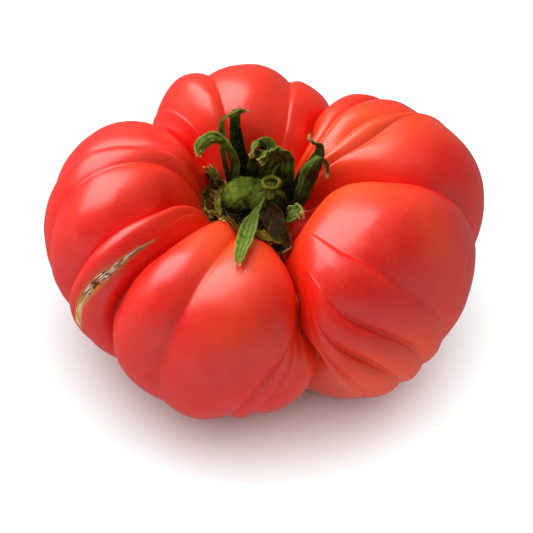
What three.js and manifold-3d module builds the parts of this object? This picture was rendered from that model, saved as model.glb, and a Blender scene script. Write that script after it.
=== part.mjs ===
// A ribbed beefsteak tomato, picked with its calyx and a stub of its stalk, in millimetres, +Z up.
// The origin is the middle of the small flat spot that the fruit rests on, under the stalk.
// Azimuths are in degrees, counter-clockwise from +X seen from above.
import * as THREE from 'three';
import { mergeVertices } from 'three/addons/utils/BufferGeometryUtils.js';
import ManifoldModule from 'manifold-3d';

const RADIANS = Math.PI / 180;

// Driving dimensions of the fruit
const CAVITY_FLOOR_Z = 45;
const EQUATOR_Z = 36;
const FOOT_RADIUS = 15;
const SHOULDER_FULLNESS = 2.15;
const UNDERSIDE_FULLNESS = 1.95;
const FOLD_SHARPNESS = 2.3;
const GROOVE_ROUNDNESS = 0.6;
const GROOVE_BESIDE_FOLD = [1.5, 1.2, 0.5];
const GROOVE_DEPTH_TO_WIDTH = 0.35;

// Steps of the fruit's surface
const COLUMNS_PER_RIB = 7;
const INNER_ROWS = 7;
const SHOULDER_ROWS = 9;
const UNDERSIDE_ROWS = 8;

// Profile angles: -90 at the cavity's floor, 0 at the crest, 90 at the equator, 180 at the foot
const AZIMUTH_KNOTS = [-40, -10, 15, 50, 75, 95, 140];
const EQUATOR_KNOT = AZIMUTH_KNOTS.indexOf(95);
const RIM_TO_EQUATOR = [-20, 90];
const EQUATOR_TO_UNDERSIDE = [90, 140];
const FOLDS_START = [-95, -50];
const FOLDS_END = [140, 178];

// Folds sink the skin towards a ring inside each lobe, and never closer to it than this share of the way
const RING_ABOVE_EQUATOR = 4;
const DEEPEST_SHARE = 0.85;

// The fruit's lobes, counter-clockwise. Each starts at a deep fold, and shallow grooves part it into ribs.
// at: azimuth of the fold or groove at each knot of the profile
// depth: how far it is sunk at the rim, the equator and the underside
// In the middle of the rib that follows, reach is its outer radius, crest and top are the radius and height
// of its crest, and floor is how far the cavity's floor runs out to it
const LOBES = [
  {
    // right, behind
    fold: { at: [352, 350, 351, 354, 356, 357, 356], depth: [9, 6, 4] },
    ribs: [
      { reach: 61.6, crest: 35, top: 66, floor: 11 },
      {
        at: [2, 9, 19.5, 23, 25.5, 27, 28], depth: [2.6, 1.2, 0.2],
        reach: 58, crest: 31, top: 66, floor: 11,
      },
      {
        at: [8, 19, 22, 26.5, 30, 32, 33], depth: [2.8, 1.6, 0.3],
        reach: 54.5, crest: 30, top: 66, floor: 11,
      },
      {
        at: [28, 37, 40, 39.5, 41, 42, 43], depth: [2.8, 1.8, 0.4],
        reach: 52, crest: 28, top: 64, floor: 11,
      },
    ],
  },
  {
    // back
    fold: { at: [48, 56, 57, 59, 61, 62, 62], depth: [11, 7, 6] },
    ribs: [
      { reach: 49, crest: 27, top: 62, floor: 11 },
      {
        at: [65, 69, 73.5, 78, 81, 82, 82], depth: [3.6, 2.6, 1.2],
        reach: 50.6, crest: 27, top: 65, floor: 11,
      },
      {
        at: [113, 111, 109, 107, 106, 105, 105], depth: [3, 2.2, 1],
        reach: 53, crest: 27, top: 65, floor: 11,
      },
      {
        at: [133, 132, 131, 130, 129, 128.5, 128], depth: [1, 1.4, 0.3],
        reach: 46, crest: 28, top: 61, floor: 11,
      },
    ],
  },
  {
    // left
    fold: { at: [139, 138, 137, 137, 136.5, 136, 136], depth: [11, 10, 8] },
    ribs: [
      { reach: 54, crest: 30, top: 63, floor: 13 },
      {
        at: [172, 173, 173.5, 174, 173, 172.5, 172], depth: [2.4, 1.8, 0.3],
        reach: 54.8, crest: 32, top: 66, floor: 13,
      },
      {
        at: [188, 190, 190.5, 190, 189.5, 189, 189], depth: [1.8, 1.6, 0.3],
        reach: 54.8, crest: 33, top: 66, floor: 13,
      },
    ],
  },
  {
    // left, in front, narrow, with the corky scar in its groove
    fold: { at: [212, 217.5, 216, 212, 208, 203.5, 199], depth: [8, 6, 5] },
    ribs: [
      { reach: 53.8, crest: 34, top: 62, floor: 14 },
      {
        at: [224, 228, 227, 222, 217, 212, 208], depth: [1.2, 1.5, 0.4],
        reach: 52, crest: 36, top: 59, floor: 14,
      },
    ],
  },
  {
    // front
    fold: { at: [231, 230.5, 229, 226, 223.5, 221, 218], depth: [8, 9, 8] },
    ribs: [
      { reach: 56, crest: 37, top: 62, floor: 12 },
      {
        at: [261, 257, 253.5, 249.5, 246.5, 244.5, 240], depth: [3.4, 2.8, 1.2],
        reach: 57.5, crest: 38, top: 60, floor: 15,
      },
      {
        at: [285.2, 285, 284, 282, 278, 272.5, 261], depth: [0.4, 2.4, 1.8],
        reach: 55, crest: 37, top: 58, floor: 20,
      },
      {
        at: [285.6, 285.5, 284.8, 283.3, 282.4, 279.8, 268], depth: [0.4, 2.6, 2.2],
        reach: 53, crest: 37, top: 57, floor: 22,
      },
    ],
  },
  {
    // right, in front, with thick rolls that run down out of the fold
    fold: { at: [286, 286, 285.5, 284.5, 285.5, 288, 293.5], depth: [12, 13, 20], sharpness: 4 },
    ribs: [
      { reach: 59, crest: 38, top: 60, floor: 22 },
      {
        at: [286.3, 286.5, 286.4, 286, 287.5, 292.5, 307], depth: [0.6, 2.6, 1.2],
        reach: 59, crest: 39, top: 61, floor: 22,
      },
      {
        at: [286.7, 287, 287.2, 287.8, 292.5, 302.5, 320], depth: [2, 2.8, 0.6],
        reach: 59, crest: 39, top: 62, floor: 22,
      },
      {
        at: [287.5, 288, 289.2, 294, 305, 314, 328], depth: [3, 2.5, 0.3],
        reach: 58.5, crest: 40, top: 64, floor: 22,
      },
      {
        at: [296, 297.5, 302.5, 312, 320.5, 326, 334], depth: [3, 2.5, 0.2],
        reach: 59.2, crest: 40, top: 66.5, floor: 17,
      },
    ],
  },
];

// Slow dents and swellings of the flesh: height, and turns of the wave round and down the fruit
const UNEVENNESS = [
  { size: 0.35, round: 2, down: 1.7, start: 1.3 },
  { size: 0.28, round: 5, down: -2.1, start: 0.4 },
  { size: 0.2, round: 11, down: 3.3, start: 0 },
];
const UNEVEN_FROM = [-80, -40];
const UNEVEN_TO = [150, 175];

const smooth = ([from, to], x) => THREE.MathUtils.smoothstep(x, from, to);
const mix = THREE.MathUtils.lerp;

// Every fold and groove in one counter-clockwise list, with azimuths that only grow.
function listRibs() {
  const ribs = [];
  let turns = 0;
  let last = -Infinity;
  LOBES.forEach((lobe, lobeIndex) => {
    lobe.ribs.forEach((rib, place) => {
      const edge = place === 0 ? lobe.fold : rib;
      if (edge.at[EQUATOR_KNOT] + turns < last) turns += 360;
      last = edge.at[EQUATOR_KNOT] + turns;
      ribs.push({
        at: edge.at.map((azimuth) => azimuth + turns),
        depth: place === 0 ? GROOVE_BESIDE_FOLD : rib.depth,
        reach: rib.reach,
        crest: rib.crest,
        top: rib.top,
        floor: rib.floor,
        lobeIndex,
      });
    });
  });
  return ribs;
}

const RIBS = listRibs();
const edgeOf = (index) => {
  const turns = Math.floor(index / RIBS.length) * 360;
  const rib = RIBS[index % RIBS.length];
  return { ...rib, at: rib.at.map((azimuth) => azimuth + turns) };
};
const foldOf = (lobeIndex) => {
  const turns = Math.floor(lobeIndex / LOBES.length) * 360;
  const index = RIBS.findIndex((rib) => rib.lobeIndex === lobeIndex % LOBES.length);
  const { depth, sharpness = FOLD_SHARPNESS } = LOBES[lobeIndex % LOBES.length].fold;
  return { at: RIBS[index].at.map((azimuth) => azimuth + turns), depth, sharpness };
};

// A smooth curve through the azimuths at the knots, level before the first and after the last.
function azimuthAt(edge, angle) {
  const last = AZIMUTH_KNOTS.length - 1;
  const at = THREE.MathUtils.clamp(angle, AZIMUTH_KNOTS[0], AZIMUTH_KNOTS[last]);
  const knot = Math.min(last - 1, AZIMUTH_KNOTS.filter((start) => start <= at).length - 1);
  const span = AZIMUTH_KNOTS[knot + 1] - AZIMUTH_KNOTS[knot];
  const slope = (place) => {
    if (place === 0 || place === last) return 0;
    return (edge.at[place + 1] - edge.at[place - 1]) / (AZIMUTH_KNOTS[place + 1] - AZIMUTH_KNOTS[place - 1]);
  };
  const t = (at - AZIMUTH_KNOTS[knot]) / span;
  return (
    edge.at[knot] * (1 + 2 * t) * (1 - t) ** 2
    + slope(knot) * span * t * (1 - t) ** 2
    + edge.at[knot + 1] * t * t * (3 - 2 * t)
    + slope(knot + 1) * span * t * t * (t - 1)
  );
}

function depthAt([rim, side, under], angle) {
  const along = angle < EQUATOR_TO_UNDERSIDE[0]
    ? mix(rim, side, smooth(RIM_TO_EQUATOR, angle))
    : mix(side, under, smooth(EQUATOR_TO_UNDERSIDE, angle));
  return along * smooth(FOLDS_START, angle) * (1 - smooth(FOLDS_END, angle));
}

// A groove is no deeper than the narrower of the ribs beside it lets it be.
function grooveAt(index, angle, radius) {
  const [before, here, after] = [-1, 0, 1].map(
    (step) => azimuthAt(edgeOf(index + RIBS.length + step), angle),
  );
  const width = Math.min(here - before, after - here) * RADIANS * radius;
  return Math.min(depthAt(edgeOf(index).depth, angle), GROOVE_DEPTH_TO_WIDTH * width);
}

// A rib's reach or top, eased from the middle of one rib to the middle of the next.
function eased(index, across, key) {
  const here = edgeOf(index + RIBS.length)[key];
  const other = edgeOf(index + RIBS.length + (across < 0 ? -1 : 1))[key];
  return mix(here, other, 0.5 * smooth([0, 1], Math.abs(across)));
}

// The plain meridian, before folds: distance from the axis and height.
function meridian(angle, { reach, crest, top, floor }) {
  const turn = Math.abs(angle) * RADIANS;
  if (angle <= 90) {
    const inner = angle < 0;
    const span = inner ? crest - floor : reach - crest;
    const drop = inner ? top - CAVITY_FLOOR_Z : top - EQUATOR_Z;
    const power = 2 / SHOULDER_FULLNESS;
    const out = span * Math.sin(turn) ** power;
    return [crest + (inner ? -out : out), top - drop * (1 - Math.cos(turn) ** power)];
  }
  const power = 2 / UNDERSIDE_FULLNESS;
  const under = (angle - 90) * RADIANS;
  return [
    FOOT_RADIUS + (reach - FOOT_RADIUS) * Math.max(0, Math.cos(under)) ** power,
    EQUATOR_Z * (1 - Math.sin(under) ** power),
  ];
}

// Keeps the ribs from looking turned on a lathe.
function unevenness(azimuth, angle) {
  const wave = UNEVENNESS.reduce(
    (sum, { size, round, down, start }) => (
      sum + size * Math.sin((round * azimuth + down * angle) * RADIANS + start)
    ),
    0,
  );
  return wave * smooth(UNEVEN_FROM, angle) * (1 - smooth(UNEVEN_TO, angle));
}

// One point of the skin. across runs from -1 to 1 over the rib.
function skinPoint(index, step, angle) {
  const across = Math.sin((Math.PI / 2) * step);
  const from = azimuthAt(edgeOf(index), angle);
  const to = azimuthAt(edgeOf(index + 1), angle);
  const azimuth = mix(from, to, (across + 1) / 2);
  const { lobeIndex } = edgeOf(index);
  const first = foldOf(lobeIndex);
  const second = foldOf(lobeIndex + 1);
  const lobeFrom = azimuthAt(first, angle);
  const lobeTo = azimuthAt(second, angle);
  const place = THREE.MathUtils.clamp((2 * (azimuth - lobeFrom)) / (lobeTo - lobeFrom) - 1, -1, 1);
  const fold = place < 0 ? first : second;
  const shape = {};
  for (const key of ['reach', 'crest', 'top', 'floor']) shape[key] = eased(index, across, key);
  const [radius, height] = meridian(angle, shape);
  const grooveDepth = grooveAt(across < 0 ? index : index + 1, angle, radius);
  const steep = 1 - Math.sqrt(1 - across * across);
  const sunk = depthAt(fold.depth, angle) * (1 - Math.sqrt(1 - Math.abs(place) ** fold.sharpness))
    + grooveDepth * mix(steep, across * across, GROOVE_ROUNDNESS);
  const core = [shape.crest, EQUATOR_Z + RING_ABOVE_EQUATOR];
  const away = Math.hypot(radius - core[0], height - core[1]);
  const share = 1 - Math.min(DEEPEST_SHARE, (sunk + unevenness(azimuth, angle)) / away);
  const r = core[0] + (radius - core[0]) * share;
  const z = core[1] + (height - core[1]) * share;
  return [r * Math.cos(azimuth * RADIANS), r * Math.sin(azimuth * RADIANS), z];
}

function makeFruit() {
  const angles = [];
  const addRows = (start, rows) => {
    for (let row = 1; row <= rows; row += 1) {
      angles.push(start + (90 * row) / rows);
    }
  };
  angles.push(-90);
  addRows(-90, INNER_ROWS);
  addRows(0, SHOULDER_ROWS);
  addRows(90, UNDERSIDE_ROWS);
  const columns = RIBS.length * COLUMNS_PER_RIB;
  const positions = [];
  for (const angle of angles) {
    for (let column = 0; column < columns; column += 1) {
      const index = Math.floor(column / COLUMNS_PER_RIB);
      const step = (2 * (column % COLUMNS_PER_RIB)) / COLUMNS_PER_RIB - 1;
      positions.push(...skinPoint(index, step, angle));
    }
  }
  const floorCentre = positions.length / 3;
  positions.push(0, 0, CAVITY_FLOOR_Z);
  const footCentre = floorCentre + 1;
  positions.push(0, 0, 0);
  const faces = [];
  for (let column = 0; column < columns; column += 1) {
    const next = (column + 1) % columns;
    faces.push(floorCentre, column, next);
    for (let row = 0; row < angles.length - 1; row += 1) {
      const a = row * columns + column;
      const b = row * columns + next;
      const c = b + columns;
      const d = a + columns;
      faces.push(a, d, b, b, d, c);
    }
    const rim = (angles.length - 1) * columns;
    faces.push(footCentre, rim + next, rim + column);
  }
  const geometry = new THREE.BufferGeometry();
  geometry.setAttribute('position', new THREE.Float32BufferAttribute(positions, 3));
  geometry.setIndex(faces);
  return geometry;
}

// The calyx's swollen hub: lobes as centre and half sizes, and the stub of hollow stalk broken off on top
const CALYX_FOOT_Z = CAVITY_FLOOR_Z + 0.3;
const HUB_LOBES = [
  { at: [-3, -2, 49.8], size: [5.4, 6.3, 4.6] },
  { at: [3.5, -3.8, 49.4], size: [6, 6.9, 5.7] },
  { at: [1, 1, 48.5], size: [6, 5, 3.6] },
  { at: [0.8, -1.5, 47.2], size: [9.3, 8.2, 2.4] },
];
const STALK = {
  at: [4.1, -2.8, 55.6], tilt: 7, radius: 2.45, length: 3.2, bore: 1.55, boreDepth: 4, boreAbove: 1,
};
const HUB_SIDES = 28;
const CLEARED = { width: 60, height: 20 };
const WELD_DISTANCE = 0.0001;

const SEPAL_STATIONS = 17;
const SEPAL_THICKNESS = 0.85;
const SEPAL_EDGE_THICKNESS = 0.62;
const SEPAL_CURL = 0.28;
const SEPAL_WAVE = { height: 0.14, along: 13, start: 2.4 };
const SEPAL_PLACES = [1, 0.5, 0, -0.5, -1];

// The sepals, from the left round by the back. through: places of the midrib; halfWidth: at each of them;
// side: directions from the midrib to an edge, spread evenly over the length
const SEPALS = [
  {
    // left strap, arching over to the right
    through: [
      [-6.5, 2, 49.5], [-8, 4, 57], [-8.5, 6.5, 62], [-8.5, 8, 66.5], [-6, 8.5, 68.5], [-4, 11, 67.5],
      [-2, 12.5, 66],
    ],
    halfWidth: [1.7, 1.7, 1.6, 1.6, 1.8, 1.4, 0.7],
    side: [[0.4, -0.7, 0.6], [0.3, -0.7, 0.6], [0.1, -0.5, 0.9]],
  },
  {
    // tall strap behind it, its tip bent back
    through: [
      [-3.5, 3, 49.5], [-3.5, 5, 54.5], [-4.5, 8, 58.5], [-5, 11, 62], [-5, 12.5, 65], [-4.5, 14, 65.5],
      [-3.5, 15.5, 63.5],
    ],
    halfWidth: [2, 2, 1.8, 1.5, 1.3, 1.1, 0.6],
    side: [[1, -0.1, 0.1], [1, -0.1, 0.1], [1, -0.2, 0.1]],
  },
  {
    // strap curled out to the left
    through: [
      [-6.5, 1.5, 50.5], [-5.5, 3, 55.5], [-6, 3.5, 60], [-8, 4.5, 62.5], [-10.5, 5, 63.5], [-13, 4, 62.5],
      [-14, 2.5, 61.5], [-14, 1, 60.5],
    ],
    halfWidth: [1.7, 1.8, 1.6, 1.5, 1.9, 1.9, 1.4, 0.6],
    side: [[0.6, -0.4, 0.7], [0.3, -0.1, 1], [0.8, -0.6, 0]],
  },
  {
    // crumpled, behind the hub
    through: [
      [1, 3.5, 51], [1, 3.5, 55.5], [2, 4, 59], [2.5, 5, 61], [1, 5.5, 61.2], [0, 4, 60.2], [-0.5, 2.5, 59],
    ],
    halfWidth: [3, 3.4, 3.3, 3, 2.7, 2.2, 1],
    side: [[0.6, -0.6, 0.5], [0.5, -0.6, 0.6], [0.3, -0.4, 0.9]],
  },
  {
    // crumpled, folded over from the right
    through: [
      [7, -1, 48.5], [7.5, 0.5, 54], [7.5, 1.5, 58], [6.7, 2, 60.8], [5, 2, 61.8], [3.5, 1.5, 61.3],
      [2, 0.5, 60.8],
      [0.8, 0, 60],
    ],
    halfWidth: [2, 2.3, 2.4, 2.3, 2.1, 1.9, 1.6, 0.7],
    side: [[0.9, -0.1, 0.4], [0.6, -0.1, 0.8], [0.1, 0.1, 1]],
  },
  {
    // short and torn, inside that fold
    through: [[3, 2.5, 50.5], [3.6, 2.7, 54.5], [4.2, 3.2, 57.8], [3.1, 2.1, 58.7], [1.5, 1, 57.9]],
    halfWidth: [2.2, 2.6, 2.3, 1.7, 0.7],
    side: [[0.3, -0.6, 0.8], [0.3, -0.3, 0.9], [0.3, 0.2, 0.9]],
  },
  {
    // right strap, hooked down at its tip
    through: [
      [9, -4, 48], [11.5, -4, 52.5], [13, -3.5, 57], [14, -4.5, 61.5], [16, -4, 64], [17.5, -4.5, 63.5],
      [18, -5, 61], [18, -6, 59.5],
    ],
    halfWidth: [1.9, 2.3, 2.4, 2, 1.3, 0.7, 0.5, 0.4],
    side: [[0.6, -0.3, 0.7], [0.8, -0.5, 0.2], [0.7, -0.3, 0.6]],
  },
  {
    // right strap behind, with a thin tail
    through: [
      [9, -2, 49], [12, -1.5, 55], [14.5, -1.5, 60], [16, -0.5, 63], [16, 0.5, 64.5], [14.5, 0.5, 65.5],
      [13.5, 1, 66.5], [13.5, 2, 67],
    ],
    halfWidth: [1.6, 2, 2, 1.5, 1, 0.6, 0.45, 0.4],
    side: [[0.8, -0.2, 0.6], [0.9, -0.4, 0.1], [0.3, -0.3, 0.9]],
  },
  {
    // front, long, lying over the front lobe
    through: [
      [4.5, -8, 52], [2.5, -9, 55], [1, -13, 56], [-0.5, -19.5, 58], [-1.5, -27, 60.5], [-2.5, -32.5, 61.5],
      [-3.5, -38, 62], [-4, -41, 61.5],
    ],
    halfWidth: [0.7, 0.5, 0.8, 1.8, 2.1, 1.9, 1.4, 0.7],
    side: [[0.2, 0.4, 0.9], [1, 0, 0], [1, 0.1, 0.1]],
  },
  {
    // front, hanging in the gap between two lobes
    through: [[2, -6, 50], [3, -9.5, 52], [4.8, -13.5, 52.3], [6.4, -18, 51.6], [8, -23.5, 51]],
    halfWidth: [2, 2.9, 3.4, 2.7, 0.8],
    side: [[0.8, 0.2, 0.5], [0.9, 0, 0.5], [0.8, 0, 0.6]],
  },
  {
    // short, curled to the right
    through: [
      [7.5, -7.5, 47.8], [8.5, -10, 50.5], [9.6, -12, 53], [10.8, -13.6, 54.8], [11.4, -14.6, 55.2],
      [11.5, -15.8, 54.6],
    ],
    halfWidth: [1.5, 2, 2.3, 2, 1.3, 0.6],
    side: [[0.2, 0.3, 0.9], [0.1, 0.1, 1], [0.7, -0.1, 0.7]],
  },
];

const asCurve = (points) => new THREE.CatmullRomCurve3(points.map((point) => new THREE.Vector3(...point)));

// One sepal: a strap along its midrib, curled up at both edges, wavy and thinner there.
function makeSepal({ through, halfWidth, side }, number) {
  const midrib = asCurve(through);
  const widths = asCurve(halfWidth.map((half) => [half, 0, 0]));
  const sides = asCurve(side);
  const vertices = [];
  for (let station = 0; station < SEPAL_STATIONS; station += 1) {
    const along = station / (SEPAL_STATIONS - 1);
    const centre = midrib.getPoint(along);
    const forward = midrib.getTangent(along);
    const half = widths.getPoint(along).x;
    const across = sides.getPoint(along);
    across.addScaledVector(forward, -across.dot(forward)).normalize();
    const normal = new THREE.Vector3().crossVectors(forward, across);
    for (const face of [1, -1]) {
      for (const place of face > 0 ? SEPAL_PLACES : [...SEPAL_PLACES].reverse()) {
        const thickness = mix(SEPAL_THICKNESS, SEPAL_EDGE_THICKNESS, Math.abs(place));
        const turn = SEPAL_WAVE.along * along + SEPAL_WAVE.start * number + place;
        const wave = SEPAL_WAVE.height * half * place * Math.sin(turn);
        const lift = SEPAL_CURL * half * place * place + wave + (face * thickness) / 2;
        const point = centre.clone().addScaledVector(across, half * place).addScaledVector(normal, lift);
        vertices.push(point.x, point.y, point.z);
      }
    }
  }
  const ring = SEPAL_PLACES.length * 2;
  const faces = [];
  for (let station = 0; station < SEPAL_STATIONS - 1; station += 1) {
    for (let corner = 0; corner < ring; corner += 1) {
      const a = station * ring + corner;
      const b = station * ring + ((corner + 1) % ring);
      faces.push(a, b, b + ring, a, b + ring, a + ring);
    }
  }
  const last = (SEPAL_STATIONS - 1) * ring;
  for (let corner = 1; corner < ring / 2; corner += 1) {
    const low = corner - 1;
    const opposite = ring - 1 - corner;
    faces.push(low, opposite, corner, low, opposite + 1, opposite);
    faces.push(last + low, last + corner, last + opposite, last + low, last + opposite, last + opposite + 1);
  }
  const geometry = new THREE.BufferGeometry();
  geometry.setAttribute('position', new THREE.Float32BufferAttribute(vertices, 3));
  geometry.setIndex(faces);
  return geometry;
}

const wasm = await ManifoldModule();
wasm.setup();

function toSolid(geometry) {
  geometry.deleteAttribute('normal');
  geometry.deleteAttribute('uv');
  const merged = mergeVertices(geometry, WELD_DISTANCE);
  return new wasm.Manifold(new wasm.Mesh({
    numProp: 3,
    vertProperties: new Float32Array(merged.getAttribute('position').array),
    triVerts: new Uint32Array(merged.index.array),
  }));
}

function makeHubLobe({ at, size }) {
  const geometry = new THREE.SphereGeometry(1, HUB_SIDES, HUB_SIDES / 2);
  return geometry.scale(...size).translate(...at);
}

// A cylinder along the stalk, from a height above its broken end down to a depth below it.
function makeStalkRod(radius, above, below) {
  const geometry = new THREE.CylinderGeometry(radius, radius, above + below, HUB_SIDES);
  geometry.translate(0, (above - below) / 2, 0);
  return geometry.rotateX(Math.PI / 2 + STALK.tilt * RADIANS).translate(...STALK.at);
}

function makeCalyx() {
  const stalk = makeStalkRod(STALK.radius, 0, STALK.length);
  const pieces = [...HUB_LOBES.map(makeHubLobe), stalk, ...SEPALS.map(makeSepal)];
  const bore = toSolid(makeStalkRod(STALK.bore, STALK.boreAbove, STALK.boreDepth));
  const block = new THREE.BoxGeometry(CLEARED.width, CLEARED.width, CLEARED.height);
  const below = toSolid(block.translate(0, 0, CALYX_FOOT_Z - CLEARED.height / 2));
  const joined = pieces.map(toSolid).reduce((whole, piece) => whole.add(piece));
  const mesh = joined.subtract(bore).subtract(below).getMesh();
  const geometry = new THREE.BufferGeometry();
  geometry.setAttribute('position', new THREE.BufferAttribute(mesh.vertProperties, 3));
  geometry.setIndex(new THREE.BufferAttribute(mesh.triVerts, 1));
  return geometry;
}

const skin = new THREE.MeshStandardMaterial({ color: 0xd83a2a, roughness: 0.35, metalness: 0 });
const green = new THREE.MeshStandardMaterial({ color: 0x4a6428, roughness: 0.8, metalness: 0 });

const tomato = new THREE.Group();
const fruit = new THREE.Mesh(makeFruit(), skin);
fruit.name = 'fruit';
tomato.add(fruit);

const calyx = new THREE.Mesh(makeCalyx(), green);
calyx.name = 'calyx';
tomato.add(calyx);

export default tomato;
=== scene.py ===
import math
import random

import bpy
import numpy as np
from mathutils import Matrix, Vector, noise


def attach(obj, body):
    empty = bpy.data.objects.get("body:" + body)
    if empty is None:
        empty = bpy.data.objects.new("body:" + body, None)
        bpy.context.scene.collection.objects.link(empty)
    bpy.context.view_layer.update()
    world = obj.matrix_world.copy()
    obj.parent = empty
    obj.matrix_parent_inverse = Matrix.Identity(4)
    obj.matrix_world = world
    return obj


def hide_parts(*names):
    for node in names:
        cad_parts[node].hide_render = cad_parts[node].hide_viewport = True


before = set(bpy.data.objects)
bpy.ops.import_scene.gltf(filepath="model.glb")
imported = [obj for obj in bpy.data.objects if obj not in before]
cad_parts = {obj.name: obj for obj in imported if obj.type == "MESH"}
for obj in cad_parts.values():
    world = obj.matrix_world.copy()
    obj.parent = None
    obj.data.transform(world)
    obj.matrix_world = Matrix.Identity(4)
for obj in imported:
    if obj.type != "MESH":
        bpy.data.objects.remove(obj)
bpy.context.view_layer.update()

MM = 0.001
SEED = 4
chance = random.Random(SEED)

# The photograph's view: a square picture, seen from the front and above. The target and distance are in mm.
PHOTO_SIZE = 533
CAMERA_ELEVATION = 42
CAMERA_DISTANCE = 650
CAMERA_TARGET = (2.9, -6.3, 30.2)
CAMERA_LENS = 171.2
CAMERA_SENSOR = 36


# Small helpers

def camera_axes():
    """The camera's right, up and backward directions."""
    elevation = math.radians(CAMERA_ELEVATION)
    back = Vector((0, -math.cos(elevation), math.sin(elevation)))
    right = Vector((1, 0, 0))
    return right, back.cross(right), back


def linear(hex_colour):
    """An sRGB hex colour as linear RGBA."""
    parts = [int(hex_colour[i:i + 2], 16) / 255 for i in (1, 3, 5)]
    return [c / 12.92 if c <= 0.04045 else ((c + 0.055) / 1.055) ** 2.4 for c in parts] + [1]


def per_metre(size_mm):
    """The texture scale that makes a pattern of this size."""
    return 1000 / size_mm


def mix(low, high, share):
    return low + (high - low) * share


def ease(low, high, value):
    """0 up to low, 1 from high on, and smooth between them. Low may be the greater of the two."""
    share = min(1, max(0, (value - low) / (high - low)))
    return share * share * (3 - 2 * share)


# How far each seed moves the noise, in its humps
SEED_SHIFT = (17.3, 5.1, 9.7)


def grain(place, size, seed=0):
    """Smooth noise from about -1 to 1 at a place in mm, with humps of this size in mm."""
    return noise.noise(Vector(place) / size + Vector([seed * shift for shift in SEED_SHIFT]))


SHORTEST_SPAN = 0.0001


def curve_point(points, along):
    """A point on a centripetal curve through the points; along is from 0 to 1."""
    spans = len(points) - 1
    start = min(spans - 1, int(along * spans))
    share = along * spans - start
    p1, p2 = points[start], points[start + 1]
    p0 = points[start - 1] if start else 2 * p1 - p2
    p3 = points[start + 2] if start + 2 <= spans else 2 * p2 - p1
    d0, d1, d2 = (max((b - a).length, SHORTEST_SPAN) ** 0.5 for a, b in ((p0, p1), (p1, p2), (p2, p3)))
    leave = ((p1 - p0) / d0 - (p2 - p0) / (d0 + d1) + (p2 - p1) / d1) * d1
    arrive = ((p2 - p1) / d1 - (p3 - p1) / (d1 + d2) + (p3 - p2) / d2) * d1
    rise, fall = share ** 2 * (3 - 2 * share), share * (1 - share)
    return p1 * (1 - rise) + p2 * rise + leave * fall * (1 - share) - arrive * fall * share


def curve_way(points, along, step):
    """Which way the curve runs at a point, from a step before it to a step after it."""
    return curve_point(points, min(1, along + step)) - curve_point(points, max(0, along - step))


def curve_value(values, along):
    """The number that a smooth curve through the values has there."""
    return curve_point([Vector((v, 0, 0)) for v in values], along).x


def take(name):
    """Names the object that an operator has just made."""
    piece = bpy.context.object
    piece.name = piece.data.name = name
    return piece


def choose(piece):
    """Makes the piece the only selected and active object."""
    bpy.ops.object.select_all(action="DESELECT")
    piece.select_set(True)
    bpy.context.view_layer.objects.active = piece


def apply_modifier(piece, kind, **settings):
    choose(piece)
    modifier = piece.modifiers.new(kind.lower(), kind)
    for name, value in settings.items():
        setattr(modifier, name, value)
    bpy.ops.object.modifier_apply(modifier=modifier.name)


def set_attribute(piece, name, values):
    attribute = piece.data.attributes.get(name) or piece.data.attributes.new(name, "FLOAT", "POINT")
    attribute.data.foreach_set("value", [float(v) for v in values])


def set_leaf_looks(piece, looks):
    """Stores what the leaf materials read: the tone, vein, dryness and brownness of each vertex."""
    for name in ("tone", "vein", "dry", "brown"):
        set_attribute(piece, name, [look[name] for look in looks])


def finish_piece(piece, slot, *materials):
    """Smooth shading, materials, and the body that the piece belongs to. The slot is not used."""
    choose(piece)
    bpy.ops.object.shade_smooth()
    piece.data.materials.clear()
    for material in materials:
        piece.data.materials.append(material)
    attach(piece, "root")


def new_material(name):
    material = bpy.data.materials.new(name)
    material.use_nodes = True
    return material, material.node_tree.nodes["Principled BSDF"]


def add_node(material, kind, settings=None, **inputs):
    """Adds a node. Settings are its options; an input is a value, or a socket to link from."""
    tree = material.node_tree
    made = tree.nodes.new("ShaderNode" + kind)
    for name, value in (settings or {}).items():
        setattr(made, name, value)
    for name, value in inputs.items():
        socket = made.inputs[name.replace("_", " ")]
        if isinstance(value, bpy.types.NodeSocket):
            tree.links.new(value, socket)
        else:
            socket.default_value = value
    return made


def set_input(material, shader, name, value):
    if isinstance(value, bpy.types.NodeSocket):
        material.node_tree.links.new(value, shader.inputs[name])
    else:
        shader.inputs[name].default_value = value


# Materials. Sizes of their patterns, and heights of their bumps, in mm
RIPENING_PATCH = 26
SKIN_MOTTLE = 5
SKIN_SPECK = 0.65
SKIN_PORE = 0.7
SKIN_DIMPLE_DEPTH = 0.12
SKIN_PORE_DEPTH = 0.025
SKIN_LIGHT_DEPTH = 2
LEAF_CELL = 0.6
LEAF_CLOUD = 3
LEAF_CELL_HEIGHT = 0.12
CORK_FLAKE = 0.6
CORK_FLAKE_HEIGHT = 0.12
HAIR_PATCH = 3
# How much each pattern counts beside the attribute that it is added to
RIPENING_SHARE = 0.8
CELL_SHARE = 0.7
CLOUD_SHARE = 0.8
FLAKE_SHARE = 0.8


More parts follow.
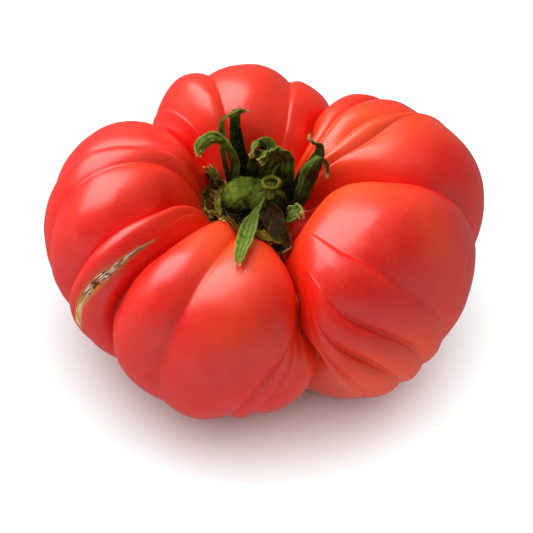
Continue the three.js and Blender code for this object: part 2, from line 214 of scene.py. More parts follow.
def ripe_skin():
    """Ripe tomato skin: a thin, clear wax over red flesh. It has a soft gloss, painted shade that darkens its
    folds to deep red, orange shoulders and fine pale specks."""
    material, shader = new_material("ripe_tomato_skin")
    place = add_node(material, "TexCoord").outputs["Object"]
    broad = add_node(material, "TexNoise", Vector=place, Scale=per_metre(RIPENING_PATCH), Detail=2.0)
    patches = add_node(material, "TexNoise", Vector=place, Scale=per_metre(SKIN_MOTTLE), Detail=4.0)
    specks = add_node(material, "TexVoronoi", Vector=place, Scale=per_metre(SKIN_SPECK), Randomness=1.0)
    orange = add_node(material, "Attribute", {"attribute_name": "orange"})
    hollow = add_node(material, "Attribute", {"attribute_name": "hollow"})
    halo = add_node(material, "Attribute", {"attribute_name": "halo"})
    ripening = add_node(material, "Math", {"operation": "MULTIPLY_ADD"})
    set_input(material, ripening, 0, broad.outputs["Fac"])
    set_input(material, ripening, 1, RIPENING_SHARE)
    set_input(material, ripening, 2, orange.outputs["Fac"])
    ripe = add_node(material, "MapRange", Value=ripening.outputs[0], From_Min=0.55, From_Max=1.4)
    base = add_node(material, "MixRGB", Fac=ripe.outputs[0], Color1=linear("#e00c02"),
                    Color2=linear("#f04810"))
    mottle = add_node(material, "MapRange", Value=patches.outputs["Fac"], From_Min=0.4, From_Max=0.75,
                      To_Max=0.24)
    mottled = add_node(material, "MixRGB", Fac=mottle.outputs[0], Color1=base.outputs[0],
                       Color2=linear("#ee3c12"))
    speck = add_node(material, "MapRange", Value=specks.outputs["Distance"], From_Min=0.34, From_Max=0.1,
                     To_Max=0.2)
    speckled = add_node(material, "MixRGB", Fac=speck.outputs[0], Color1=mottled.outputs[0],
                        Color2=linear("#fa8058"))
    # Painted shade: the skin turns deep red in its folds, as far as the hollow attribute says
    painted_fold_shade = add_node(material, "MixRGB", Fac=hollow.outputs["Fac"], Color1=speckled.outputs[0],
                    Color2=linear("#c40402"))
    healed = add_node(material, "MixRGB", Fac=halo.outputs["Fac"], Color1=painted_fold_shade.outputs[0],
                      Color2=linear("#cc6c10"))
    shine = add_node(material, "MapRange", Value=patches.outputs["Fac"], To_Min=0.28, To_Max=0.42)
    pores = add_node(material, "TexNoise", Vector=place, Scale=per_metre(SKIN_PORE), Detail=3.0)
    dimples = add_node(material, "Bump", Strength=0.25, Distance=SKIN_DIMPLE_DEPTH * MM,
                       Height=patches.outputs["Fac"])
    pitted = add_node(material, "Bump", Strength=0.2, Distance=SKIN_PORE_DEPTH * MM,
                      Height=pores.outputs["Fac"], Normal=dimples.outputs[0])
    set_input(material, shader, "Base Color", healed.outputs[0])
    set_input(material, shader, "Roughness", shine.outputs[0])
    set_input(material, shader, "Normal", pitted.outputs[0])
    set_input(material, shader, "IOR", 1.45)
    set_input(material, shader, "Specular IOR Level", 0.82)
    set_input(material, shader, "Subsurface Weight", 0.12)
    set_input(material, shader, "Subsurface Radius", (1.0, 0.2, 0.1))
    set_input(material, shader, "Subsurface Scale", SKIN_LIGHT_DEPTH * MM)
    return material


def leaf_tissue(name, dark, light, veins, dried_to, browned_to="#2a1600"):
    """Sepal tissue: matt, finely hairy leaf with sunken veins, which turns brown and dries to beige at
    torn tips."""
    material, shader = new_material(name)
    place = add_node(material, "TexCoord").outputs["Object"]
    cells = add_node(material, "TexNoise", Vector=place, Scale=per_metre(LEAF_CELL), Detail=4.0)
    clouds = add_node(material, "TexNoise", Vector=place, Scale=per_metre(LEAF_CLOUD), Detail=3.0)
    tone = add_node(material, "Attribute", {"attribute_name": "tone"})
    vein = add_node(material, "Attribute", {"attribute_name": "vein"})
    dry = add_node(material, "Attribute", {"attribute_name": "dry"})
    brown = add_node(material, "Attribute", {"attribute_name": "brown"})
    uneven = add_node(material, "Math", {"operation": "MULTIPLY_ADD"})
    set_input(material, uneven, 0, cells.outputs["Fac"])
    set_input(material, uneven, 1, CELL_SHARE)
    set_input(material, uneven, 2, tone.outputs["Fac"])
    share = add_node(material, "MapRange", Value=uneven.outputs[0], From_Min=0.3, From_Max=1.4)
    base = add_node(material, "MixRGB", Fac=share.outputs[0], Color1=linear(dark), Color2=linear(light))
    browned = add_node(material, "MixRGB", Fac=brown.outputs["Fac"], Color1=base.outputs[0],
                       Color2=linear(browned_to))
    veined = add_node(material, "MixRGB", Fac=vein.outputs["Fac"], Color1=browned.outputs[0],
                      Color2=linear(veins))
    patchy = add_node(material, "Math", {"operation": "MULTIPLY_ADD"})
    set_input(material, patchy, 0, clouds.outputs["Fac"])
    set_input(material, patchy, 1, CLOUD_SHARE)
    set_input(material, patchy, 2, dry.outputs["Fac"])
    dryness = add_node(material, "MapRange", Value=patchy.outputs[0], From_Min=0.65, From_Max=1.15)
    dried = add_node(material, "MixRGB", Fac=dryness.outputs[0], Color1=veined.outputs[0],
                     Color2=linear(dried_to))
    roughness = add_node(material, "MapRange", Value=cells.outputs["Fac"], To_Min=0.5, To_Max=0.75)
    bump = add_node(material, "Bump", Strength=0.7, Distance=LEAF_CELL_HEIGHT * MM,
                    Height=cells.outputs["Fac"])
    set_input(material, shader, "Base Color", dried.outputs[0])
    set_input(material, shader, "Roughness", roughness.outputs[0])
    set_input(material, shader, "Normal", bump.outputs[0])
    set_input(material, shader, "Specular IOR Level", 0.06)
    return material


def scar_cork():
    """The growth scar: torn red-brown skin with a little gloss at its upper end, which healed to dry, matt,
    beige cork below."""
    material, shader = new_material("growth_scar_cork")
    place = add_node(material, "TexCoord").outputs["Object"]
    flakes = add_node(material, "TexNoise", Vector=place, Scale=per_metre(CORK_FLAKE), Detail=5.0)
    crack = add_node(material, "Attribute", {"attribute_name": "crack"})
    age = add_node(material, "Attribute", {"attribute_name": "age"})
    knot = add_node(material, "Attribute", {"attribute_name": "knot"})
    flaked = add_node(material, "Math", {"operation": "MULTIPLY_ADD"})
    set_input(material, flaked, 0, flakes.outputs["Fac"])
    set_input(material, flaked, 1, FLAKE_SHARE)
    set_input(material, flaked, 2, crack.outputs["Fac"])
    depth = add_node(material, "MapRange", Value=flaked.outputs[0], From_Min=0.35, From_Max=1.1)
    young = add_node(material, "MixRGB", Fac=depth.outputs[0], Color1=linear("#f8d6bc"),
                     Color2=linear("#8e2c06"))
    old = add_node(material, "MixRGB", Fac=depth.outputs[0], Color1=linear("#ffdcaa"),
                   Color2=linear("#bc823c"))
    aged = add_node(material, "MixRGB", Fac=age.outputs["Fac"], Color1=young.outputs[0],
                    Color2=old.outputs[0])
    knotted = add_node(material, "MixRGB", Fac=knot.outputs["Fac"], Color1=aged.outputs[0],
                       Color2=linear("#4a2a0c"))
    roughness = add_node(material, "MapRange", Value=age.outputs["Fac"], To_Min=0.5, To_Max=0.85)
    bump = add_node(material, "Bump", Strength=0.6, Distance=CORK_FLAKE_HEIGHT * MM,
                    Height=flakes.outputs["Fac"])
    set_input(material, shader, "Base Color", knotted.outputs[0])
    set_input(material, shader, "Roughness", roughness.outputs[0])
    set_input(material, shader, "Normal", bump.outputs[0])
    set_input(material, shader, "Specular IOR Level", 0.25)
    return material


def hair_material(name, young, old):
    """Plant hairs and fibres: thin and dull, paler than what they grow on, so they show as fine lines."""
    material, shader = new_material(name)
    place = add_node(material, "TexCoord").outputs["Object"]
    ages = add_node(material, "TexNoise", Vector=place, Scale=per_metre(HAIR_PATCH), Detail=1.0)
    base = add_node(material, "MixRGB", Fac=ages.outputs["Fac"], Color1=linear(young), Color2=linear(old))
    set_input(material, shader, "Base Color", base.outputs[0])
    set_input(material, shader, "Roughness", 0.5)
    return material


SKIN = ripe_skin()
SEPAL_OUTER = leaf_tissue("sepal_outer_face", "#101702", "#7d9236", veins="#101402", dried_to="#b89c62")
SEPAL_INNER = leaf_tissue("sepal_inner_face", "#0d1001", "#566218", veins="#0b0c01", dried_to="#8a6a38")
HUB_GREEN = leaf_tissue("calyx_hub_flesh", "#121200", "#708524", veins="#131500", dried_to="#7a6020")
DRY_TISSUE = leaf_tissue("dry_cavity_tissue", "#241a02", "#8f8630", veins="#140d01", dried_to="#a9923f",
                         browned_to="#512e05")
SCAR_CORK = scar_cork()
HAIR = hair_material("calyx_hair", "#7f8a3c", "#9a8448")
FIBRE = hair_material("dry_fibre", "#a89a4a", "#735a20")


# Fruit. Points of the CAD's mesh that are closer than this, in mm, are one
SAME_PLACE = 0.01


def merged_copy(node_name, piece_name):
    """A copy of a CAD node's mesh as a new piece, with its loose triangles joined into quads."""
    piece = bpy.data.objects.new(piece_name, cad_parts[node_name].data.copy())
    bpy.context.scene.collection.objects.link(piece)
    choose(piece)
    bpy.ops.object.mode_set(mode="EDIT")
    bpy.ops.mesh.select_all(action="SELECT")
    bpy.ops.mesh.remove_doubles(threshold=SAME_PLACE * MM)
    bpy.ops.mesh.customdata_custom_splitnormals_clear()
    bpy.ops.mesh.tris_convert_to_quads(face_threshold=math.pi, shape_threshold=math.pi)
    bpy.ops.object.mode_set(mode="OBJECT")
    return piece


def read_mesh(piece):
    """The piece's vertex places and normals as arrays, and its edges."""
    mesh = piece.data
    places = np.zeros(len(mesh.vertices) * 3)
    normals = np.zeros(len(mesh.vertices) * 3, np.float32)
    edges = np.zeros(len(mesh.edges) * 2, np.int32)
    mesh.vertices.foreach_get("co", places)
    mesh.vertex_normals.foreach_get("vector", normals)
    mesh.edges.foreach_get("vertices", edges)
    return places.reshape(-1, 3), normals.reshape(-1, 3), edges.reshape(-1, 2)


def spread(values, edges, rounds):
    """Each value averaged with its neighbours, again and again."""
    count = len(values)
    degree = np.bincount(edges.ravel(), minlength=count)
    for _ in range(rounds):
        total = np.zeros_like(values)
        for column in range(values.shape[1]):
            total[:, column] = (
                np.bincount(edges[:, 0], values[edges[:, 1], column], count)
                + np.bincount(edges[:, 1], values[edges[:, 0], column], count)
            )
        values = 0.5 * values + 0.5 * total / degree[:, None]
    return values


# The growth scar, from its upper end: pixels of the photograph, and half its width there in mm
SCAR_IN_PHOTO = [(158, 239), (143, 247), (131, 255), (121, 263), (111, 271), (102, 278), (94, 286), (87, 294),
                 (82, 303), (79, 312), (78, 320), (81, 329)]
SCAR_HALF_WIDTH = [0.15, 0.4, 0.75, 1.0, 1.2, 1.3, 1.35, 1.3, 1.15, 1.0, 0.8, 0.3]
# Its length in mm, and the steps in which the skin's distance from it is measured
SCAR_LENGTH = 45
SCAR_STEPS = 160
# Across the scar, from -1 to 1: the middles of its strands, and how thick each of them is
SCAR_STRANDS = (-0.7, -0.35, 0, 0.35, 0.7)
STRAND_THICKNESS = 0.11
# Along the scar, from 0 to 1: its dark knots, how thick each is, and where torn skin turns to cork
SCAR_KNOTS = (0.3, 0.4, 0.52, 0.63)
KNOT_THICKNESS = 0.012
CORK_STARTS = (0.6, 0.78)
# Heights over the skin, in mm: the crust, and a strand and a knot on it, and how far its edges are sunk
CRUST_HEIGHT = 0.05
STRAND_HEIGHT = 0.34
KNOT_HEIGHT = 0.2
EDGE_SUNK = 0.12

# The skin's finer shape, in mm: height and size of its ripples, how far it lies inside the CAD's facets,
# and the height above the foot over which both set in
RIPPLES = [(0.16, 9), (0.07, 3.5)]
SKIN_INSET = 0.2
FOOT_FADE = 6
# The hollow of the blossom scar, in mm: its depth, and the radii and the heights between which it fades
BLOSSOM_HOLLOW = 0.6
BLOSSOM_HOLLOW_RADII = (9, 3)
BLOSSOM_HOLLOW_HEIGHTS = (20, 10)
# Painted shade darkens the skin to deep red in its folds, where it lies this far below the skin around it,
# over this much more, up to a share.
# The skin around a point is found by averaging it with its neighbours, this many rounds
FOLD_ROUNDS = 40
FOLD_STARTS = 0.2
FOLD_DEEPENS = 1.4
FOLD_SHADE_DARKEST = 0.9
# The amber halo of the growth scar: its strength, and where it fades, in mm from the scar's edge
HALO_STRENGTH = 0.95
HALO_FADE = (-0.1, 0.6)
# Places that ripen last, as azimuth in degrees and height, with their size
ORANGE_PLACES = [(262, 58, 20), (300, 30, 26), (318, 22, 22), (330, 60, 14), (80, 40, 24), (20, 62, 14)]
ORANGE_STRENGTH = 0.6
# The shoulders ripen late too, between these heights and radii
SHOULDER_ORANGE = 0.35
SHOULDER_HEIGHTS = (50, 64)
SHOULDER_RADII = (50, 30)


def seen_on_skin(fruit, pixel):
    """The place on the skin that the photograph shows at a pixel, and the skin's normal there."""
    right, up, back = camera_axes()
    way = right * (pixel[0] - PHOTO_SIZE / 2) + up * (PHOTO_SIZE / 2 - pixel[1])
    way = (way - back * PHOTO_SIZE * CAMERA_LENS / CAMERA_SENSOR).normalized()
    start = Vector(CAMERA_TARGET) + back * CAMERA_DISTANCE
    _, near, normal, _ = fruit.ray_cast(start * MM, way)
    return near / MM, normal


def make_fruit():
    """The skin: the CAD fruit's form, rounded between its facets, with slow ripples. Also gives the places
    that the growth scar runs through."""
    fruit = merged_copy("fruit", "fruit_skin")
    apply_modifier(fruit, "SUBSURF", levels=2, render_levels=2)
    places, normals, edges = read_mesh(fruit)
    centre = places / MM
    around = spread(places, edges, FOLD_ROUNDS)
    hollow = np.einsum("ij,ij->i", around - places, normals) / MM
    scar_places = [seen_on_skin(fruit, pixel)[0] for pixel in SCAR_IN_PHOTO]
    steps = [i / SCAR_STEPS for i in range(SCAR_STEPS + 1)]
    path = np.array([curve_point(scar_places, step) for step in steps])
    widths = [curve_value(SCAR_HALF_WIDTH, step) for step in steps]
    halo, orange = [], []
    for i, (x, y, z) in enumerate(centre):
        radius = math.hypot(x, y)
        ripple = sum(height * grain((x, y, z), size, seed) for seed, (height, size) in enumerate(RIPPLES))
        places[i] += normals[i] * (ripple - SKIN_INSET) * ease(0, FOOT_FADE, z) * MM
        under = ease(*BLOSSOM_HOLLOW_HEIGHTS, z)
        places[i][2] += BLOSSOM_HOLLOW * ease(*BLOSSOM_HOLLOW_RADII, radius) * under * MM
        gaps = ((path - centre[i]) ** 2).sum(1)
        near = int(gaps.argmin())
        edge = widths[near] + 0.5 * grain((x, y, z), size=1.6, seed=2)
        beside = ease(edge + HALO_FADE[0], edge + HALO_FADE[1], math.sqrt(gaps[near]))
        halo.append(HALO_STRENGTH * (1 - beside))
        late = SHOULDER_ORANGE * ease(*SHOULDER_HEIGHTS, z) * ease(*SHOULDER_RADII, radius)
        for azimuth, height, size in ORANGE_PLACES:
            aside = math.remainder(math.atan2(y, x) - math.radians(azimuth), math.tau) * radius
            late += ORANGE_STRENGTH * math.exp(-(aside ** 2 + (z - height) ** 2) / (size * size / 2))
        orange.append(late)
    fruit.data.vertices.foreach_set("co", places.ravel())
    fruit.data.update()
    # The hollow attribute sets how much painted shade darkens the folds
    set_attribute(fruit, "hollow", np.clip((hollow - FOLD_STARTS) / FOLD_DEEPENS, 0, FOLD_SHADE_DARKEST))
    set_attribute(fruit, "halo", halo)
    set_attribute(fruit, "orange", orange)
    finish_piece(fruit, "skin", SKIN)
    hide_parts("fruit")
    return fruit, scar_places


def on_skin(fruit, place):
    """The nearest place on the fruit's skin, in mm, and the skin's normal there."""
    _, near, normal, _ = fruit.closest_point_on_mesh(Vector(place) * MM)
    return near / MM, normal


SCAR_COLUMNS = 26
SCAR_ROWS = 300


def make_scar(fruit, path):
    """A strip of torn and healed skin: lengthwise strands with cracks between them, its edges sunk into the
    skin. Side runs from -1 to 1 across it, and run from 0 to 1 along it."""
    bpy.ops.mesh.primitive_grid_add(x_subdivisions=SCAR_COLUMNS, y_subdivisions=SCAR_ROWS, size=2)
    scar = take("growth_scar")
    cracks, ages, knots = [], [], []
    for vertex in scar.data.vertices:
        side, run = vertex.co.x, (vertex.co.y + 1) / 2
        reach = run * SCAR_LENGTH
        middle = curve_point(path, run)
        _, normal = on_skin(fruit, middle)
        across_way = curve_way(path, run, step=0.01).cross(normal).normalized()
        half = curve_value(SCAR_HALF_WIDTH, run) * (1 + 0.2 * grain((reach, side * 1.5, 0), size=2.2, seed=3))
        near, normal = on_skin(fruit, middle + across_way * half * side)
        strands = []
        for at in SCAR_STRANDS:
            aside = side - at - 0.25 * grain((reach, at * 9, 0), size=3.5, seed=4)
            there = ease(-0.5, 0.3, grain((reach, at * 5, 3), size=4, seed=5))
            strands.append(math.exp(-(aside / STRAND_THICKNESS) ** 2) * there)
        strand = max(strands)
        knot = max(math.exp(-((run - at - 0.02 * side) / KNOT_THICKNESS) ** 2) for at in SCAR_KNOTS)
        knot *= ease(-0.4, 0.2, grain((reach, side * 3, 5), size=1.4, seed=6))
        at_edge = abs(side) ** 4
        crust = (CRUST_HEIGHT + STRAND_HEIGHT * strand + KNOT_HEIGHT * knot) * (1 - at_edge)
        vertex.co = (near + normal * (crust - EDGE_SUNK * at_edge)) * MM
        cracks.append(0.75 - 0.95 * strand + 0.45 * at_edge)
        ages.append(min(1, ease(*CORK_STARTS, run) + 0.5 * side * side))
        knots.append(0.85 * knot + 0.35 * ease(0.28, 0.08, run))
    set_attribute(scar, "crack", cracks)
    set_attribute(scar, "age", ages)
    set_attribute(scar, "knot", knots)
    finish_piece(scar, "skin", SCAR_CORK)
    return scar


# The blossom scar, in mm: its radius, the height of its middle, half its thickness, and what its rays add
BLOSSOM_SCAR_RADIUS = 3.2
BLOSSOM_SCAR_Z = 0.55
BLOSSOM_SCAR_HALF = 0.25
BLOSSOM_SCAR_RAYS = 0.12


def make_blossom_scar():
    """The small corky dot that the flower left under the fruit, in a shallow hollow of the foot."""
    bpy.ops.mesh.primitive_uv_sphere_add(segments=64, ring_count=32, radius=1)
    piece = take("blossom_scar")
    cracks = []
    for vertex in piece.data.vertices:
        x, y, z = vertex.co
        belt, angle = math.hypot(x, y), math.atan2(y, x)
        ray = abs(grain((math.cos(angle) * 3, math.sin(angle) * 3, belt), size=0.8, seed=7))
        uneven = 1 + 0.12 * math.sin(5 * angle + 1) + 0.1 * grain((x * 3, y * 3, 0), size=1.3, seed=8)
        radius = BLOSSOM_SCAR_RADIUS * uneven
        height = BLOSSOM_SCAR_Z + z * (BLOSSOM_SCAR_HALF + BLOSSOM_SCAR_RAYS * ray)
        vertex.co = Vector((x * radius, y * radius, height)) * MM
        cracks.append(1 - ease(0.05, 0.35, ray) - 0.4 * belt)
    set_attribute(piece, "crack", cracks)
    set_attribute(piece, "age", [1] * len(cracks))
    set_attribute(piece, "knot", [0] * len(cracks))
    finish_piece(piece, "skin", SCAR_CORK)
    return piece


# Calyx

# How far a sepal's edges curl up and wave, as a share of its half width. The wave turns by so many radians
# along a sepal, and starts further on from one sepal to the next
SEPAL_CURL = 0.28
SEPAL_WAVE = 0.14
WAVES_ALONG = 13
WAVE_SHIFT = 2.4
SEPAL_THICKNESS = 0.4
SEPAL_COLUMNS = 16
SEPAL_ROWS = 80
# The ragged edge: height of its rags as a share of the half width, and their size in mm
EDGE_RAGS = [(0.13, 2.2), (0.05, 0.7)]

# The eleven sepals of the CAD and two more in the crumpled cluster, sepal_crumpled_back and
# sepal_crumpled_right. through: places of the midrib; half: half width at each of them;
# side: directions from the midrib to an edge; tone: 0 dark to 1 light green; dry: dryness of the whole
# strap; brown: how brown it is at either edge; tip: where its dry tip starts; forks: (side, start, width)
# of each tear in the tip; crumple: how far it is crushed out of its plane
SEPALS = [
    dict(name="sepal_left_arch", tone=0.25, dry=0.1, brown=(0.2, 0),
         tip=0.88, forks=[(0.2, 0.94, 0.5)], crumple=0.2,
         through=[(-6.5, 2, 49.5), (-8, 4, 57), (-8.5, 6.5, 62), (-8.5, 8, 66.5), (-6, 8.5, 68.5),
                  (-4, 11, 67.5), (-2, 12.5, 66)],
         half=[1.7, 1.7, 1.6, 1.6, 1.8, 1.4, 0.7],
         side=[(0.4, -0.7, 0.6), (0.3, -0.7, 0.6), (0.1, -0.5, 0.9)]),
    dict(name="sepal_tall", tone=-0.1, dry=0.0, brown=(0, 0.1),
         tip=0.9, forks=[], crumple=0.1,
         through=[(-3.5, 3, 49.5), (-3.5, 5, 54.5), (-4.5, 8, 58.5), (-5, 11, 62), (-5, 12.5, 65),
                  (-4.5, 14, 65.5), (-3.5, 15.5, 63.5)],
         half=[2, 2, 1.8, 1.5, 1.3, 1.1, 0.6],
         side=[(1, -0.1, 0.1), (1, -0.1, 0.1), (1, -0.2, 0.1)]),
    dict(name="sepal_left_curl", tone=0.5, dry=0.05, brown=(0.1, 0),
         tip=0.9, forks=[(0.1, 0.86, 0.5)], crumple=0.6,
         through=[(-6.5, 1.5, 50.5), (-5.5, 3, 55.5), (-6, 3.5, 60), (-8, 4.5, 62.5), (-10.5, 5, 63.5),
                  (-13, 4, 62.5), (-14, 2.5, 61.5), (-14, 1, 60.5)],
         half=[1.7, 1.8, 1.4, 1.3, 1.6, 1.7, 1.3, 0.6],
         side=[(0.6, -0.4, 0.7), (0.3, -0.2, 1), (0, 0.6, 0.75), (-0.7, 0.4, 0.5)]),
    dict(name="sepal_crumpled", tone=0.4, dry=0.1, brown=(0.1, 0),
         tip=0.82, forks=[(0.3, 0.88, 0.5)], crumple=1.0,
         through=[(1, 3.5, 51), (1, 3.5, 55.5), (2, 4, 59), (2.5, 5, 61), (1, 5.5, 61.2), (0, 4, 60.2),
                  (-0.5, 2.5, 59)],
         half=[3, 3.4, 3.3, 3, 2.7, 2.2, 1],
         side=[(0.6, -0.6, 0.5), (0.5, -0.6, 0.6), (0.3, -0.4, 0.9)]),
    dict(name="sepal_folded", tone=0.35, dry=0.05, brown=(0, 0.15),
         tip=0.9, forks=[(-0.2, 0.9, 0.4)], crumple=1.3,
         through=[(7, -1, 48.5), (7.5, 0.5, 54), (7.5, 1.5, 58), (6.7, 2, 60.8), (5, 2, 61.8),
                  (3.5, 1.5, 61.3), (2, 0.5, 60.8), (0.8, 0, 60)],
         half=[2, 2.3, 2.4, 2.0, 1.4, 1.3, 1.3, 0.7],
         side=[(0.9, -0.1, 0.4), (0.8, -0.3, 0.5), (0.2, -0.6, 0.8)]),
    dict(name="sepal_torn", tone=0.35, dry=0.1, brown=(0.1, 0.1),
         tip=0.8, forks=[(0, 0.75, 0.6)], crumple=0.5,
         through=[(3, 2.5, 50.5), (3.6, 2.7, 54.5), (4.2, 3.2, 57.8), (3.1, 2.1, 58.7), (1.5, 1, 57.9)],
         half=[2.2, 2.6, 2.3, 1.7, 0.7],
         side=[(0.3, -0.6, 0.8), (0.3, -0.3, 0.9), (0.3, 0.2, 0.9)]),
    dict(name="sepal_crumpled_back", tone=0.05, dry=0.05, brown=(0.1, 0.2),
         tip=0.9, forks=[], crumple=0.8,
         through=[(-0.5, 3.2, 51), (0.5, 3.4, 54.5), (1.8, 3.6, 58), (2.4, 4, 60.2)],
         half=[2, 2.8, 2.6, 1.4],
         side=[(1, -0.2, 0), (1, -0.2, 0.1), (0.9, -0.2, 0.3)]),
    dict(name="sepal_crumpled_right", tone=0.1, dry=0.05, brown=(0, 0.1),
         tip=0.9, forks=[], crumple=0.8,
         through=[(4, 1.8, 51), (4.6, 1.9, 55), (5, 2.2, 58.5), (4.6, 2.4, 60.4)],
         half=[2, 2.6, 2.6, 1.4],
         side=[(1, -0.1, 0), (1, -0.1, 0.1), (0.9, -0.1, 0.3)]),
    dict(name="sepal_right_hook", tone=0.4, dry=0.05, brown=(0.8, 0),
         tip=0.85, forks=[], crumple=0.2,
         through=[(9, -4, 48), (11.5, -4, 52.5), (13, -3.5, 57), (14, -4.5, 61.5), (16, -4, 64),
                  (17.5, -4.5, 63.5), (18, -5, 61), (18, -6, 59.5)],
         half=[1.9, 2.3, 2.4, 2, 1.3, 0.7, 0.5, 0.4],
         side=[(0.6, -0.3, 0.7), (0.8, -0.5, 0.2), (0.7, -0.3, 0.6)]),
    dict(name="sepal_right_tail", tone=0.1, dry=0.1, brown=(0.3, 0.3),
         tip=0.6, forks=[], crumple=0.2,
         through=[(9, -2, 49), (12, -1.5, 55), (14.5, -1.5, 60), (16, -0.5, 63), (16, 0.5, 64.5),
                  (14.5, 0.5, 65.5), (13.5, 1, 66.5), (13.5, 2, 67)],
         half=[1.6, 2, 2, 1.5, 1, 0.6, 0.45, 0.4],
         side=[(0.8, -0.2, 0.6), (0.9, -0.4, 0.1), (0.3, -0.3, 0.9)]),
    dict(name="sepal_front_long", tone=0.32, dry=0.0, brown=(0, 0),
         tip=0.93, forks=[(0, 0.86, 0.45)], crumple=0.5,
         through=[(4.5, -8, 52), (2.5, -9, 55), (1, -13, 56), (-0.5, -19.5, 58), (-1.5, -27, 60.5),
                  (-2.5, -32.5, 61.5), (-3.5, -38, 62), (-4, -41, 61.5)],
         half=[0.6, 0.4, 0.5, 1.6, 2.1, 1.9, 1.4, 0.7],
         side=[(0.2, 0.4, 0.9), (1, 0, 0), (1, 0.1, 0.1)]),
    dict(name="sepal_front_hanging", tone=-0.1, dry=0.0, brown=(1, 0.9),
         tip=0.98, forks=[], crumple=0.3,
         through=[(2, -6, 50), (3, -9.5, 52), (4.8, -13.5, 52.3), (6.4, -18, 51.6), (8, -23.5, 51)],
         half=[1.9, 2.5, 2.8, 2.4, 1.5],
         side=[(0.8, 0.2, 0.5), (0.9, 0, 0.5), (0.8, 0, 0.6)]),
    dict(name="sepal_right_short", tone=0.5, dry=0.2, brown=(0, 0.3),
         tip=0.75, forks=[(0.1, 0.76, 0.6)], crumple=0.8,
         through=[(7.5, -7.5, 47.8), (8.5, -10, 50.5), (9.6, -12, 53), (10.8, -13.6, 54.8),
                  (11.4, -14.6, 55.2), (11.5, -15.8, 54.6)],
         half=[1.5, 2, 2.3, 2, 1.3, 0.6],
         side=[(0.2, 0.3, 0.9), (0.5, 0.1, 0.9), (0.9, -0.1, 0.4)]),
]
# Main veins, across the strap from -1 to 1, with how thick and how deep they are and how far they wander
SEPAL_VEINS = (-0.6, 0, 0.55)
VEIN_THICKNESS = 0.07
VEIN_DEPTH = 0.12
VEIN_WANDER = 0.12
# Small relief of the leaf between its veins, in mm
CRINKLE_HEIGHT = 0.16
CELL_RIB_HEIGHT = 0.14


def tear_tip(piece, forks):
    """Deletes the faces of a flat strap that lie in the tears of its tip. A tear widens from its start on."""
    bpy.ops.object.mode_set(mode="EDIT")
    bpy.ops.mesh.select_mode(type="FACE")
    bpy.ops.mesh.select_all(action="DESELECT")
    bpy.ops.object.mode_set(mode="OBJECT")
    for face in piece.data.polygons:
        side, run = face.center.x, (face.center.y + 1) / 2
        face.select = any(
            run > start and abs(side - at) < width * (run - start) / (1 - start) for at, start, width in forks
        )
    bpy.ops.object.mode_set(mode="EDIT")
    bpy.ops.mesh.delete(type="FACE")
    bpy.ops.mesh.select_mode(type="VERT")
    bpy.ops.object.mode_set(mode="OBJECT")


def make_sepal(sepal, number, outer, inner):
    """A strap of leaf: a flat grid, torn at its tip, laid along the midrib and given its thickness.
    Side runs from -1 to 1 across it, and run from 0 to 1 along it."""
    through = [Vector(p) for p in sepal["through"]]
    sides = [Vector(p) for p in sepal["side"]]
    length = sum((b - a).length for a, b in zip(through, through[1:]))
    bpy.ops.mesh.primitive_grid_add(x_subdivisions=SEPAL_COLUMNS, y_subdivisions=SEPAL_ROWS, size=2,
                                    calc_uvs=True)
    piece = take(sepal["name"])
    tear_tip(piece, sepal["forks"])
    looks = []
    for vertex in piece.data.vertices:
        side, run = vertex.co.x, (vertex.co.y + 1) / 2
        reach = run * length
        centre = curve_point(through, run)
        forward = curve_way(through, run, step=0.005)
        forward.normalize()
        ragged = sum(share * grain((reach, 0, side * 2), size, seed=number) for share, size in EDGE_RAGS)
        half = curve_value(sepal["half"], run) * (1 + ragged * ease(0.4, 1, abs(side)))
        across = curve_point(sides, run)
        across = (across - across.dot(forward) * forward).normalized()
        normal = forward.cross(across)
        wave = SEPAL_WAVE * half * side * math.sin(WAVES_ALONG * run + WAVE_SHIFT * number + side)
        wander = VEIN_WANDER * grain((reach, number, 0), size=4)
        vein = max(math.exp(-((side - at - wander) / VEIN_THICKNESS) ** 2) for at in SEPAL_VEINS)
        vein *= 1 - ease(0.9, 1, run)
        rib = abs(grain((reach * 0.35, side * half * 1.6, number), size=0.6, seed=11))
        crinkle = CRINKLE_HEIGHT * grain((side * half, reach, number), size=1.0)
        crinkle = crinkle - VEIN_DEPTH * vein + CELL_RIB_HEIGHT * (rib - 0.2)
        crush = sepal["crumple"] * grain((side * half, reach, number * 3), size=1.8, seed=12)
        crush *= ease(0.05, 0.3, run)
        lift = SEPAL_CURL * half * side * side + wave + crinkle + crush
        vertex.co = (centre - across * half * side + normal * lift) * MM
        rim = ease(0.82, 1, abs(side))
        looks.append(dict(
            tone=sepal["tone"] + 0.3 * rim + 0.45 * ease(0.4, 0.75, run) - 0.5 * ease(0.3, 0, run),
            vein=0.7 * vein + 0.45 * ease(0.12, 0, rib),
            dry=sepal["dry"] + 0.9 * ease(sepal["tip"], 1, run) + 0.12 * rim,
            brown=mix(*sepal["brown"], ease(-0.3, 0.3, side)),
        ))
    set_leaf_looks(piece, looks)
    apply_modifier(piece, "SOLIDIFY", thickness=SEPAL_THICKNESS * MM, offset=0, material_offset=1)
    finish_piece(piece, "green", outer, inner)
    apply_modifier(piece, "SUBSURF", levels=1, render_levels=1)
    return piece


